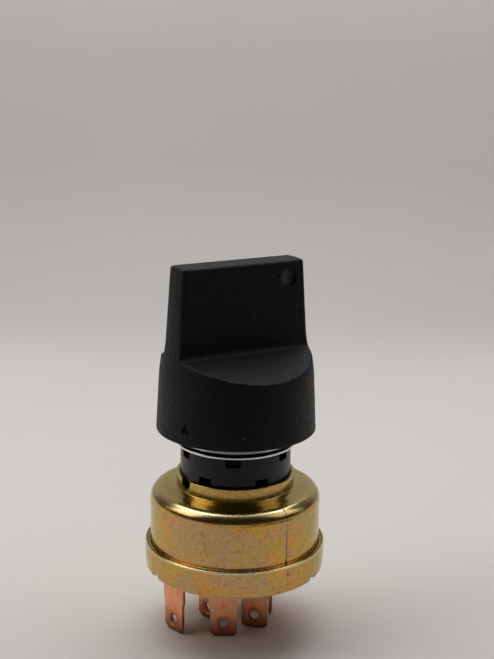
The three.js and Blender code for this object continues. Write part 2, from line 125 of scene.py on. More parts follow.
BLADES = {
    "battery": {"x": -14.0, "y": -4.0, "turn": -47, "foot": 1},
    "ignition": {"x": -2.3, "y": -6.3, "turn": 0, "foot": -1},
    "accessory": {"x": 5.0, "y": -1.8, "turn": -8, "foot": -1},
    "starter": {"x": -6.0, "y": 2.3, "turn": -41, "foot": 1},
    "heater": {"x": 9.0, "y": 7.3, "turn": 88, "foot": 1},
}
BLADE = {
    "tip_half": 3.15,
    "shank_half": 3.55,
    "half_thick": 0.4,
    "shank_half_thick": 0.45,
    "shoulder": 7.3,
    "shoulder_rise": 0.5,
    "tip_cut": 0.8,
    "hole": 1.0,
    "dish": 1.85,
    "dish_depth": 0.14,
    "hole_height": 3.3,
    "foot_bottom": 20.6,
    "foot_thick": 0.8,
    "foot_length": 4.6,
    "foot_half": 2.8,
    "edge": 0.07,
    "bevel_width": 0.6,
    "bevel_slope": 0.6,
    "bevel_scale": 0.86,
    "thickens_over": 8,
    "mesh_step": 0.2,
}
SPRINGS = {
    "count": 3,
    "radius": 1.35,
    "wire": 0.22,
    "turns": 4,
    "flat_end": 0.06,
    "sides": 12,
    "steps": 160,
}

CAN = {
    "radius": 19.8,
    "wall": 0.9,
    "bend": 33.25,
    "fillet": 2.6,
    "crown": 36.4,
    "collar": 13.75,
    "collar_inner": 12.95,
    "die_line": 33.1,
    "die_line_half": 0.12,
    "pit": 23.1,
    "seam_ends": 31.5,
    # Height of the paler shoulder band: rubbed plating and a painted highlight.
    "wear_and_painted_highlight": 35.3,
}
RING = {"bead": 20.2, "inner": 20.5, "lip": 20.68, "pit": 21.0, "board": 17.6, "crimp_reach": 3.9}
NECK_HOLE = 11.2
CRIMPS = np.array([-60, 60, 180])
SEAM_BEARING = 36.5
RING_SEAM_BEARING = SEAM_BEARING - 1.2
SHEET_DENTS = 0.012
SLOT = {"bearing": -55, "half": 1.8, "bottom": 37.3}
NOTCHES = {
    "count": 6,
    "first": -1.7,
    "mouth_half": 1.85,
    "root_half": 1.55,
    "top": 2.3,
    "bottom": 2.65,
}


def box_mm(node):
    """Lowest and highest corners of a CAD node."""
    low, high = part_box(node)
    return np.array(low) / MM, np.array(high) / MM


# ------------------------------------------------------------------ solids given by a distance

# A field is the distance to a surface, below 0 inside it. Where a side slopes, a factor under 1
# (shelf_scale, side_scale, bevel_scale) brings its field back to about that distance.


def join(a, b, radius):
    """Two solids together, with a fillet where they meet."""
    reach = np.hypot(np.maximum(radius - a, 0), np.maximum(radius - b, 0))
    return np.maximum(radius, np.minimum(a, b)) - reach


def share(a, b, radius):
    """What two solids have in common, with its edge rounded."""
    return -join(-a, -b, radius)


def without(a, b, radius):
    """The first solid less the second, with the edge rounded."""
    return share(a, -b, radius)


def eased(a, b, width):
    """Two solids together, with a gentle change where their sides meet at a shallow angle."""
    return np.minimum(a, b) - np.maximum(width - np.abs(a - b), 0) ** 2 / (4 * width)


def slope(across, up, start, end):
    """Distance outside the line from start to end, which has its solid on the left going up."""
    run, rise = end[0] - start[0], end[1] - start[1]
    length = math.hypot(run, rise)
    return ((across - start[0]) * rise - (up - start[1]) * run) / length


def gradient(field, points):
    """Which way the field rises at each point, and how steeply."""
    reach = 0.01
    parts = []
    for axis in range(3):
        step = np.zeros(3)
        step[axis] = reach
        parts.append(field(*(points + step).T) - field(*(points - step).T))
    return np.stack(parts, axis=1) / (2 * reach)


def surface_net(field, low, high, step):
    """Points, quads and normals of the surface where field is zero."""
    axes = [np.arange(a - 2 * step, b + 3 * step, step) for a, b in zip(low, high)]
    value = field(*np.meshgrid(*axes, indexing="ij"))
    inside = value < 0
    cells = tuple(n - 1 for n in value.shape)
    total = np.zeros((math.prod(cells), 4))
    quads = []
    for axis in range(3):
        near, far = [slice(None)] * 3, [slice(None)] * 3
        near[axis], far[axis] = slice(0, -1), slice(1, None)
        near, far = tuple(near), tuple(far)
        crossed = inside[near] != inside[far]
        edges = np.argwhere(crossed)
        before, after = value[near][crossed], value[far][crossed]
        spots = np.ones((len(edges), 4))
        spots[:, :3] = edges
        spots[:, axis] += before / (before - after)
        corners = []
        for du, dv in ((0, 0), (-1, 0), (-1, -1), (0, -1)):
            cell = edges.copy()
            cell[:, (axis + 1) % 3] += du
            cell[:, (axis + 2) % 3] += dv
            corners.append(np.ravel_multi_index(tuple(cell.T), cells))
            np.add.at(total, corners[-1], spots)
        faces = np.stack(corners, axis=1)
        inward = ~inside[near][crossed]
        faces[inward] = faces[inward][:, ::-1]
        quads.append(faces)
    kept = np.flatnonzero(total[:, 3])
    number = np.zeros(len(total), int)
    number[kept] = np.arange(len(kept))
    start = np.array([a[0] for a in axes])
    points = start + step * total[kept, :3] / total[kept, 3:]
    for _ in range(4):
        steepest = gradient(field, points)
        off = field(*points.T) / np.maximum((steepest**2).sum(1), 0.2)
        points -= np.clip(off, -step, step)[:, None] * steepest
    normals = gradient(field, points)
    normals /= np.maximum(np.linalg.norm(normals, axis=1), 1e-6)[:, None]
    return points, number[np.concatenate(quads)], normals


def knob_outside(y, z, r, top, bottom, radius):
    """The skirt and its shelf with the wing standing on it, before anything is taken out."""
    rim, waist = (KNOB["rim_radius"], KNOB["rim"]), (KNOB["waist_radius"], KNOB["waist"])
    skirt = slope(r, z, (radius, bottom), rim)
    neck, end = slope(r, z, rim, waist), slope(r, z, waist, (KNOB["top_radius"], top))
    turned = -eased(-skirt, -eased(neck, end, KNOB["side_ease"]), KNOB["side_ease"])
    past = np.abs(y) - KNOB["foot_half_thick"]
    drop = KNOB["shelf_slope"] * past + KNOB["shelf_bend"] * past * np.abs(past)
    shelf = (z - KNOB["shelf"] + drop) * KNOB["shelf_scale"]
    foot = KNOB["foot_half_thick"], KNOB["shelf"]
    face = slope(np.abs(y), z, foot, (KNOB["top_half_thick"], top))
    section = join(face, shelf, KNOB["foot_fillet"])
    above = (z - KNOB["shelf"] - KNOB["shelf_edge_height"]) / KNOB["edge_grows_over"]
    edge = KNOB["shelf_edge"] + (KNOB["edge"] - KNOB["shelf_edge"]) * np.clip(above, 0, 1)
    body = share(share(turned, section, edge), z - top, KNOB["edge"])
    return share(body, bottom - z, KNOB["bottom_edge"])


def knob_cavity(z, r, bottom, radius):
    """The hollow inside the skirt, round the hub and under it."""
    foot = radius - KNOB["wall"]
    wall = slope(r, z, (foot, bottom), (foot - KNOB["draft"], KNOB["roof"]))
    cavity = share(wall, z - KNOB["roof"], KNOB["roof_fillet"])
    cavity = without(cavity, r - KNOB["hub_radius"], KNOB["hub_fillet"])
    return np.minimum(cavity, share(wall, z - KNOB["hub_bottom"], KNOB["hub_edge"]))


def knob_cores(x, y, z, r):
    """The flatted bore for the shaft, and the two pockets that run up into the wing beside it."""
    bore = np.maximum(r - KNOB["bore_radius"], x - KNOB["bore_flat"])
    bore = share(bore, z - KNOB["bore_top"], KNOB["bore_end"])
    middle = (KNOB["core_from"] + KNOB["core_to"]) / 2
    along = np.abs(np.abs(x) - middle) - (KNOB["core_to"] - middle)
    core = share(along, np.abs(y) - KNOB["core_half"], KNOB["core_corner"])
    return bore, np.maximum(core, z - KNOB["core_top"])


def dimple_field(x, y, z, top):
    """The round dish in the wing's front face."""
    off = np.hypot(x - DIMPLE["from_axis"], z - top + DIMPLE["from_top"])
    face = -KNOB["top_half_thick"] - DIMPLE["face_out"]
    ball = np.hypot(off, y - face + DIMPLE["dish"] - DIMPLE["depth"]) - DIMPLE["dish"]
    return share(ball, off - DIMPLE["radius"], DIMPLE["foot_edge"])


def knob_field(low, high):
    bottom, top, radius = low[2], high[2], high[0]

    def field(x, y, z):
        r = np.hypot(x, y)
        bore, cores = knob_cores(x, y, z, r)
        body = knob_outside(y, z, r, top, bottom, radius)
        body = without(body, knob_cavity(z, r, bottom, radius), KNOB["mouth_edge"])
        body = without(body, bore, KNOB["bore_edge"])
        body = without(body, cores, KNOB["core_edge"])
        body = without(body, dimple_field(x, y, z, top), DIMPLE["edge"])
        return without(body, mark_field(x, y, z, bottom, radius), MARK["edge"])

    return field


def mark_field(x, y, z, bottom, radius):
    """The small triangle pressed into the skirt."""
    bearing = math.radians(MARK["bearing"] - KNOB["turn"])
    across = x * math.cos(bearing) + y * math.sin(bearing)
    out = x * math.sin(bearing) - y * math.cos(bearing)
    up = z - bottom - MARK["above"]
    half = MARK["half"]
    sides = (np.abs(across) + MARK["lean"] * (up - half)) * MARK["side_scale"]
    floor = radius - MARK["inset"] - MARK["depth"] - out
    return np.maximum(np.maximum(sides, -up - 0.8 * half), floor)


def blade_field(foot):
    def field(x, y, z):
        across, thick = np.abs(x), np.abs(y)
        corner = (across - z - BLADE["tip_half"] + BLADE["tip_cut"]) / math.sqrt(2)
        tip = np.maximum(corner, -z)
        tab = np.maximum(np.maximum(across - BLADE["tip_half"], tip), z - 9)
        side = thick - BLADE["half_thick"]
        bevel = side + BLADE["bevel_slope"] * (tip + BLADE["bevel_width"])
        bevel = bevel * BLADE["bevel_scale"]
        tab = share(tab, np.maximum(side, bevel), BLADE["edge"])

        shoulder = slope(
            across,
            z,
            (BLADE["tip_half"], BLADE["shoulder"]),
            (BLADE["shank_half"], BLADE["shoulder"] + BLADE["shoulder_rise"]),
        )
        top = BLADE["foot_bottom"] + BLADE["foot_thick"]
        shank = np.maximum(np.maximum(shoulder, across - BLADE["shank_half"]), z - top)
        shank = np.maximum(shank, BLADE["shoulder"] - z)
        full = BLADE["shank_half_thick"] - BLADE["half_thick"]
        rise = np.clip((z - BLADE["shoulder"]) / BLADE["thickens_over"], 0, 1)
        shank = share(shank, thick - BLADE["half_thick"] - full * rise, BLADE["edge"])
        body = np.minimum(tab, shank)

        ahead = foot * y
        pad = np.maximum(-ahead, ahead - BLADE["foot_length"])
        pad = np.maximum(pad, across - BLADE["foot_half"])
        level = np.abs(z - BLADE["foot_bottom"] - BLADE["foot_thick"] / 2)
        body = join(body, share(pad, level - BLADE["foot_thick"] / 2, 0.1), 0.1)

        r = np.hypot(x, z - BLADE["hole_height"])
        body = without(body, r - BLADE["hole"], 0.06)
        floor = -y - BLADE["half_thick"] + BLADE["dish_depth"]
        dish = np.maximum(r - BLADE["dish"] + 0.9 * (BLADE["dish_depth"] - floor), -floor)
        return without(body, dish, 0.04)

    return field


# ------------------------------------------------------------------ turned pieces


def rounded(corners, steps=5):
    """An outline of (radius, height, size of rounding), with each corner rounded."""
    outline = []
    for i, (across, up, size) in enumerate(corners):
        here = np.array([across, up], float)
        before = np.array(corners[i - 1][:2]) - here
        after = np.array(corners[(i + 1) % len(corners)][:2]) - here
        if size == 0:
            outline.append(here)
            continue
        lengths = np.linalg.norm(before), np.linalg.norm(after)
        before, after = before / lengths[0], after / lengths[1]
        half = math.acos(np.clip(before @ after, -0.9999, 0.9999)) / 2
        reach = min(size / math.tan(half), 0.48 * min(lengths))
        radius = reach * math.tan(half)
        middle = before + after
        centre = here + middle / np.linalg.norm(middle) * radius / math.sin(half)
        first, last = here + before * reach - centre, here + after * reach - centre
        sweep = math.pi - 2 * half
        for t in np.linspace(0, 1, steps + 1):
            arc = math.sin((1 - t) * sweep) * first + math.sin(t * sweep) * last
            outline.append(centre + arc / math.sin(sweep))
    return np.array(outline)


def closer(outline, spacing):
    """The outline with points added, so that none are further apart than spacing."""
    points = []
    for here, after in zip(outline, np.roll(outline, -1, axis=0)):
        count = max(1, math.ceil(np.linalg.norm(after - here) / spacing))
        points += [here + (after - here) * i / count for i in range(count)]
    return np.array(points)


def bearings(count, *extra):
    """Bearings round a turned piece, evenly spaced, with extra ones where its shape changes."""
    even = np.arange(count) * 360 / count
    return np.unique(np.round(np.concatenate([even, *extra]) % 360, 4))


def round_seam(bearing):
    """Bearings close together on both sides of a seam."""
    return bearing + np.linspace(-1.2, 1.2, 17)


def apart(bearing, other):
    """Degrees from one bearing to another, the short way round."""
    return (bearing - other + 180) % 360 - 180


def turned(radius, height, bearing):
    """Points and quads of a turned piece, from radius and height by outline point and bearing."""
    angle = np.radians(bearing)[None, :]
    points = np.stack([radius * np.sin(angle), -radius * np.cos(angle), height], axis=2)
    rows, across = radius.shape
    number = np.arange(rows * across).reshape(rows, across)
    right, up = np.roll(number, -1, axis=1), np.roll(number, -1, axis=0)
    faces = np.stack([number, right, np.roll(up, -1, axis=1), up], axis=2)
    return points.reshape(-1, 3), faces.reshape(-1, 4)


def dents(bearing, height, size):
    """The slight unevenness of drawn sheet metal."""
    angle = np.radians(bearing)[None, :]
    waves = (
        np.sin(3 * angle + 0.35 * height + 0.4)
        + 0.7 * np.sin(7 * angle - 0.5 * height + 2.1)
        + 0.5 * np.sin(13 * angle + 0.8 * height + 4.0)
        + 0.3 * np.sin(29 * angle - 1.1 * height + 1.2)
    )
    return size * waves


def spread(outline, bearing):
    """Radius and height by outline point and bearing, for a piece that is the same all round."""
    return [np.repeat(outline[:, axis : axis + 1], len(bearing), 1) for axis in (0, 1)]


def hump(distance, width):
    """A smooth rise to 1 where the distance is 0."""
    return np.exp(-((distance / width) ** 2))


def can_outline(low, high):
    """The can's section, up the outside and back down the inside."""
    collar, crown, wall, radius = CAN["collar"], CAN["crown"], CAN["wall"], CAN["radius"]
    bend, fillet, line = CAN["bend"], CAN["fillet"], CAN["die_line"]
    shoulder = [
        (radius - fillet * (1 - math.cos(t)), bend + fillet * math.sin(t), 0)
        for t in np.linspace(0, math.pi / 2, 15)
    ]
    corners = [
        (radius - wall, low[2], 0),
        (high[0], low[2], 0.1),
        (high[0], low[2] + 0.8, 0.25),
        (radius, low[2] + 0.8, 0.35),
        (radius, line - CAN["die_line_half"], 0),
        (radius, line, 0),
        (radius, line + CAN["die_line_half"], 0),
        *shoulder,
        (collar + 1.7, crown - 0.36, 0),
        (collar + 0.8, crown - 0.12, 0),
        (collar, crown, 0.3),
        (collar, high[2], 0.16),
        (CAN["collar_inner"], high[2], 0.12),
        (CAN["collar_inner"], crown - wall, 0),
        (radius - fillet, bend + fillet - wall, 1.0),
        (radius - wall, bend, 1.4),
    ]
    return closer(rounded(corners, 8), 0.8)


def housing_can():
    low, high = box_mm("housing_can")
    collar, crown, bend, radius = CAN["collar"], CAN["crown"], CAN["bend"], CAN["radius"]
    reach = math.degrees(SLOT["half"] / collar)
    slot = SLOT["bearing"] + reach * np.sin(np.radians(np.linspace(-90, 90, 17)))
    beside_slot = SLOT["bearing"] + np.array([-1.002, 1.002]) * reach
    bearing = bearings(288, slot, beside_slot, round_seam(SEAM_BEARING))
    outline = can_outline(low, high)
    r, z = spread(outline, bearing)
    visible = (outline[:, 0] > collar - 0.01)[:, None] & (z > low[2] + 0.9)
    visible &= (r >= 17) | (z >= crown - 0.7)

    across = np.abs(apart(bearing, SEAM_BEARING))[None, :] * math.pi / 180 * r
    broken = 0.3 + 0.7 * np.clip(CAN["seam_ends"] - z, 0, 1) * (0.75 + 0.25 * np.sin(3.1 * z))
    crease = hump(across, 0.17) * visible * broken
    pit = hump(across, 0.4) * hump(z - CAN["pit"], 0.35) * visible
    # Darker at the foot, where the can goes down into the ring: painted shade in the gap between
    # them.
    foot = np.clip((low[2] + 2.0 - z) / 0.6, 0, 1) * visible
    r = r - 0.1 * crease - 0.15 * pit
    r = r + dents(bearing, z, SHEET_DENTS) * visible * (z < bend)
    z = z + dents(bearing, r, SHEET_DENTS) * visible * (z > bend) * (r > collar + 0.3)

    side = apart(bearing, SLOT["bearing"]) / reach * SLOT["half"]
    inside = np.abs(side) <= SLOT["half"] * 1.0001
    depth = np.sqrt(np.maximum(SLOT["half"] ** 2 - side**2, 0))
    roof = np.where(inside, SLOT["bottom"] + SLOT["half"] - depth, high[2] + 1)
    z = np.where(z > crown + 0.6, np.minimum(z, roof[None, :]), z)

    scored = hump(z - CAN["die_line"], 0.07) * (r > radius - 0.3)
    scored *= np.clip(0.5 + 0.5 * np.sin(np.radians(5 * bearing + 60)), 0, 1) * 0.8
    # Dirt in the seam, its pit and the die line, with the painted shade at the foot.
    dirt_and_painted_shade = np.clip(crease + pit + scored + 0.25 * foot, 0, 1)
    # A paler band round the shoulder's bend: rubbed plating and a painted highlight along the
    # bend.
    wear_and_painted_highlight = 0.45 * hump(z - CAN["wear_and_painted_highlight"], 0.5) * (r > 17)
    return turned(r, z, bearing), np.where(dirt_and_painted_shade < 0.1, -wear_and_painted_highlight, dirt_and_painted_shade)


def ring_outline(bottom, top, radius):
    """The ring's section, from its turned-in foot over the beaded top and down the inside."""
    bead, inner, lip, board = RING["bead"], RING["inner"], RING["lip"], RING["board"]
    corners = [
        (board - 0.2, bottom + 0.4, 0.1),
        (board, bottom, 0.15),
        (radius - 0.45, bottom, 0.35),
        (radius - 0.2, bottom + 0.5, 0.6),
        (radius, bottom + 3.0, 1.5),
        *((radius, RING["pit"] + step, 0) for step in (-0.4, -0.2, 0, 0.2, 0.4)),
        (radius, top, 0.3),
        (lip, top, 0.12),
        (lip - 0.16, top - 0.34, 0.08),
        (bead + 0.2, top - 0.1, 0.1),
        (bead, top - 0.22, 0.1),
        (bead, top - 0.47, 0),
        (inner, top - 0.49, 0),
        (inner, bottom + 0.95, 0),
        (board, bottom + 0.95, 0),
    ]
    return closer(rounded(corners, 6), 0.6)


def crimp_ring():
    low, high = box_mm("crimp_ring")
    bottom, top, radius = low[2], high[2], high[0]
    reach = RING["crimp_reach"]
    steps = np.array([-reach, 0.5 - reach, 1 - reach, reach - 1, reach - 0.5, reach])
    edges = (CRIMPS[:, None] + steps).ravel()
    bearing = bearings(288, edges, round_seam(RING_SEAM_BEARING))
    r, z = spread(ring_outline(bottom, top, radius), bearing)

    visible = (r > radius - 1.2) & (z > bottom - 0.1)
    across = np.abs(apart(bearing, RING_SEAM_BEARING))[None, :] * math.pi / 180 * r
    pit = hump(across, 0.32) * hump(z - RING["pit"], 0.3) * visible
    line = hump(across, 0.12) * visible * np.clip((RING["pit"] - z) / 0.5, 0, 1)
    # The groove between the lip and the bead is darkened: painted shade.
    groove = (r > RING["bead"] + 0.2) & (r < RING["lip"] - 0.06) & (z > top - 0.55)
    r = r - 0.18 * pit - 0.05 * line + dents(bearing, z, SHEET_DENTS) * visible
    near = np.min(np.abs(apart(bearing[:, None], CRIMPS[None, :])), axis=1)[None, :]
    pressed = np.clip((reach - near) / 1.6, 0, 1) * np.clip((bottom + 1.6 - z) / 1.2, 0, 1)
    r = r - 0.3 * pressed * (r > radius - 1.2)
    z = z + 0.2 * pressed * (r > radius - 2)

    # Paler lines on the outer crest, the bead's inner edge and the bottom edge: rubbed zinc and
    # painted highlights on the rounded edges.
    wear_and_painted_highlight = (r > radius - 0.3) & (z > top - 0.26)
    wear_and_painted_highlight |= (r < RING["bead"] + 0.15) & (z > top - 0.3)
    wear_and_painted_highlight |= (r > radius - 0.75) & (z < bottom + 0.3)
    # Dirt at the seam's pit and line, with the painted shade in the groove.
    dirt_and_painted_shade = np.clip(pit + 0.45 * line + 0.6 * groove, 0, 1)
    return turned(r, z, bearing), np.where(wear_and_painted_highlight & (dirt_and_painted_shade < 0.5), -0.7, dirt_and_painted_shade)


def panel_spacer():
    low, high = box_mm("panel_spacer")
    outer, inner = high[0], NECK_HOLE
    outline = rounded(
        [
            (inner, low[2], 0.1),
            (outer, low[2], 0.16),
            (outer, high[2], 0.16),
            (inner, high[2], 0.1),
        ],
        4,
    )
    outline = closer(outline, 0.5)
    step = 360 / NOTCHES["count"]
    tops = NOTCHES["first"] + step * np.arange(NOTCHES["count"])
    marks = []
    for half in (NOTCHES["root_half"], NOTCHES["mouth_half"]):
        reach = math.degrees(math.asin(half / outer))
        for centre in (*tops, *(tops + step / 2)):
            marks += [centre - reach, centre + reach]
    bearing = bearings(240, np.array(marks))

    def depth(centres, full):
        away = np.min(np.abs(apart(bearing[:, None], centres[None, :])), axis=1)
        side = outer * np.sin(np.radians(np.minimum(away, 20)))
        span = NOTCHES["mouth_half"] - NOTCHES["root_half"]
        return full * np.clip((NOTCHES["mouth_half"] - side) / span, 0, 1)

    roof = (high[2] - depth(tops, NOTCHES["top"]))[None, :]
    floor = (low[2] + depth(tops + step / 2, NOTCHES["bottom"]))[None, :]
    r, z = spread(outline, bearing)
    return turned(r, np.clip(z, floor, roof), bearing), None


def bezel_nut():
    low, high = box_mm("bezel_nut")
    rim, bottom, top = high[0], low[2], high[2]
    outline = rounded(
        [
            (NECK_HOLE, bottom + 0.05, 0.1),
            (rim - 1.0, bottom + 0.05, 0.05),
            (rim - 1.0, bottom, 0.05),
            (rim, bottom, 0.2),
            (rim, bottom + 0.65, 0.26),
            (rim - 0.5, bottom + 0.72, 0.2),
            (rim - 0.75, bottom + 1.05, 0.25),
            (rim - 0.95, top - 0.9, 0.9),
            (rim - 2.0, top, 0.4),
            (NECK_HOLE, top, 0.3),
        ],
        8,
    )
    outline = closer(outline, 0.8)
    bearing = bearings(256)
    return turned(*spread(outline, bearing), bearing), None


def coil(centre, low, high):
    """Points and faces of a round-wire spring on end, with a flat part turn at top and bottom."""
    t = np.linspace(0, 1, SPRINGS["steps"] + 1)
    angle = 2 * math.pi * SPRINGS["turns"] * t
    rise = np.clip((t - SPRINGS["flat_end"]) / (1 - 2 * SPRINGS["flat_end"]), 0, 1)
    out = np.stack([np.cos(angle), np.sin(angle), np.zeros_like(t)], axis=1)
    path = SPRINGS["radius"] * out
    path[:, :2] += centre
    path[:, 2] = low + (high - low) * rise
    along = np.gradient(path, axis=0)
    along /= np.linalg.norm(along, axis=1)[:, None]
    beside = np.cross(along, out)
    sides = SPRINGS["sides"]
    round_wire = (np.arange(sides) * 2 * math.pi / sides)[None, :, None]
    across = np.cos(round_wire) * out[:, None] + np.sin(round_wire) * beside[:, None]
    points = path[:, None] + SPRINGS["wire"] * across
    number = np.arange(len(t) * sides).reshape(len(t), sides)
    after = np.roll(number, -1, axis=1)
    quads = np.stack([number[:-1], after[:-1], after[1:], number[1:]], axis=2).reshape(-1, 4)
    ends = [number[0, ::-1].tolist(), number[-1].tolist()]
    return points.reshape(-1, 3), quads.tolist() + ends


# ------------------------------------------------------------------ making the objects


def piece(name, points, faces, body, node, material, slot, normals=None, marks=None):
    """A mesh that rides on a body and stands for a CAD node. Marks are dirt and painted shade,
    painted light in the knob's dimple, and wear and painted highlight below 0.
    """
    mesh = bpy.data.meshes.new(name)
    mesh.from_pydata((points * MM).tolist(), [], faces)
    mesh.update()
    mesh.shade_smooth()
    if marks is not None:
        layer = mesh.attributes.new("marks", "FLOAT", "POINT")
        layer.data.foreach_set("value", marks.ravel().astype(np.float32))
    if normals is None:
        mesh.set_sharp_from_angle(angle=math.radians(38))
    else:
        mesh.normals_split_custom_set_from_vertices(normals.tolist())
    mesh.materials.append(material)
    made = bpy.data.objects.new(name, mesh)
    bpy.context.scene.collection.objects.link(made)
    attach(made, body)
    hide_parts(node)
    return made


def turn_about_z(points, degrees):
    angle = math.radians(degrees)
    c, s = math.cos(angle), math.sin(angle)
    return points @ np.array([[c, s, 0], [-s, c, 0], [0, 0, 1]])


def add_knob(material):
    low, high = box_mm("knob")
    reach = high[0]
    corners = (-reach, -reach, low[2]), (reach, reach, high[2])
    points, faces, normals = surface_net(knob_field(low, high), *corners, KNOB["mesh_step"])
    # A lighter patch inside the dimple, strongest on the side towards the shaft: painted light in
    # the dish.
    across = points[:, 0] - DIMPLE["from_axis"]
    off = np.hypot(across, points[:, 2] - high[2] + DIMPLE["from_top"])
    dimple_painted_light = np.clip((DIMPLE["radius"] - 0.1 - off) / 0.5, 0, 1) * (points[:, 1] < 0)
    dimple_painted_light *= np.clip(0.6 - 0.4 * across, 0.1, 1)
    points, normals = (turn_about_z(a, KNOB["turn"]) for a in (points, normals))
    looks = {"material": material, "slot": "knob_plastic", "normals": normals, "marks": dimple_painted_light}
    piece("knob_detailed", points, faces.tolist(), "rotor", "knob", **looks)


def add_blade(name, spec, material):
    side = sorted((0, spec["foot"] * BLADE["foot_length"]))
    low = (-BLADE["shank_half"], min(side[0], -0.5), 0)
    high = (BLADE["shank_half"], max(side[1], 0.5), BLADE["foot_bottom"] + BLADE["foot_thick"])
    field = blade_field(spec["foot"])
    points, faces, normals = surface_net(field, low, high, BLADE["mesh_step"])
    across, up = points[:, 0], points[:, 2]
    # Darker round each hole, most on one side: painted shade on the dished rim.
    rim = np.hypot(across, up - BLADE["hole_height"]) - BLADE["hole"] - 0.2
    painted_hole_shade = (0.42 - 0.16 * across) * hump(rim, 0.3)
    # Darker at the cut tip and towards the bottom: painted shade.
    corner = up - np.maximum(np.abs(across) - BLADE["tip_half"] + BLADE["tip_cut"], 0)
    toned = 0.75 * np.clip(1 - corner / 0.75, 0, 1) + 0.3 * np.clip(1 - up / 3.5, 0, 1)
    marks = np.clip(painted_hole_shade + toned, 0, 1)
    points, normals = (turn_about_z(a, spec["turn"]) for a in (points, normals))
    points = points + np.array([spec["x"], spec["y"], 0])
    node = f"{name}_blade"
    looks = {"material": material, "slot": "copper", "normals": normals, "marks": marks}
    piece(f"{node}_detailed", points, faces.tolist(), "housing", node, **looks)


def add_turned(node, make, slot):
    (points, faces), marks = make()
    looks = {"material": FINISHES[slot], "slot": slot, "marks": marks}
    piece(f"{node}_detailed", points, faces.tolist(), "housing", node, **looks)


def add_bridge_springs(material):
    """The springs in the carrier's pockets."""
    for i in range(SPRINGS["count"]):
        node = f"bridge_spring_{i + 1}"
        low, high = box_mm(node)
        centre = (low[:2] + high[:2]) / 2
        points, faces = coil(centre, low[2] + SPRINGS["wire"], high[2] - SPRINGS["wire"])
        made = piece(f"{node}_detailed", points, faces, "rotor", node, material, "steel")
        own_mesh(made)


# ------------------------------------------------------------------ finishes


class Finish:
    """A material's nodes. Scales are features to the metre, in the part's own space."""

    def __init__(self, name, metallic=0.0):
        self.material = bpy.data.materials.new(name)
        self.material.use_nodes = True
        self.tree = self.material.node_tree
        self.shader = self.tree.nodes["Principled BSDF"]
        self.shader.inputs["Metallic"].default_value = metallic
        self.place = self.node("ShaderNodeTexCoord").outputs["Object"]

    def node(self, kind, **settings):
        made = self.tree.nodes.new(kind)
        for key, value in settings.items():
            setattr(made, key, value)
        return made

    def feed(self, socket, value):
        """Gives a socket another node's output or a plain value."""
        if isinstance(value, bpy.types.NodeSocket):
            self.tree.links.new(value, socket)
        else:
            socket.default_value = value

    def stretched(self, x, y, z):
        made = self.node("ShaderNodeMapping")
        self.feed(made.inputs["Vector"], self.place)
        made.inputs["Scale"].default_value = (x, y, z)
        return made.outputs["Vector"]

    def noise(self, scale, detail=3.0, roughness=0.55, place=None, distortion=0.0):
        made = self.node("ShaderNodeTexNoise")
        self.feed(made.inputs["Vector"], place or self.place)
        made.inputs["Scale"].default_value = scale
        made.inputs["Detail"].default_value = detail
        made.inputs["Roughness"].default_value = roughness
        made.inputs["Distortion"].default_value = distortion
        return made.outputs["Fac"]

    def ramp(self, factor, *stops):
        """Stops are (position, grey) or (position, colour)."""
        made = self.node("ShaderNodeValToRGB")
        self.feed(made.inputs["Fac"], factor)
        elements = made.color_ramp.elements
        while len(elements) < len(stops):
            elements.new(0.5)
        for element, (position, colour) in zip(elements, stops):
            element.position = position
            element.color = (*colour, 1) if isinstance(colour, tuple) else (colour,) * 3 + (1,)
        return made.outputs["Color"]

    def mix(self, factor, a, b, blend="MIX"):
        made = self.node("ShaderNodeMix", data_type="RGBA", blend_type=blend)
        self.feed(made.inputs["Factor"], factor)
        self.feed(made.inputs["A"], a)
        self.feed(made.inputs["B"], b)
        return made.outputs["Result"]

    def number(self, operation, a, b):
        made = self.node("ShaderNodeMath", operation=operation)
        self.feed(made.inputs[0], a)
        self.feed(made.inputs[1], b)
        return made.outputs["Value"]

    def height(self, low, high):
        """How far up a point is, 0 at low and 1 at high, both in metres."""
        split = self.node("ShaderNodeSeparateXYZ")
        self.feed(split.inputs["Vector"], self.place)
        made = self.node("ShaderNodeMapRange")
        self.feed(made.inputs["Value"], split.outputs["Z"])
        made.inputs["From Min"].default_value = low
        made.inputs["From Max"].default_value = high
        return made.outputs["Result"]

    def attribute(self, name):
        return self.node("ShaderNodeAttribute", attribute_name=name).outputs["Fac"]

    def relief(self, *layers):
        """Bump from (height, millimetres) pairs, one on another."""
        normal = None
        for height, size in layers:
            made = self.node("ShaderNodeBump")
            made.inputs["Distance"].default_value = size * MM
            self.feed(made.inputs["Height"], height)
            if normal:
                self.feed(made.inputs["Normal"], normal)
            normal = made.outputs["Normal"]
        self.feed(self.shader.inputs["Normal"], normal)

    def colour(self, value):
        self.feed(self.shader.inputs["Base Color"], value)

    def roughness(self, value):
        self.feed(self.shader.inputs["Roughness"], value)


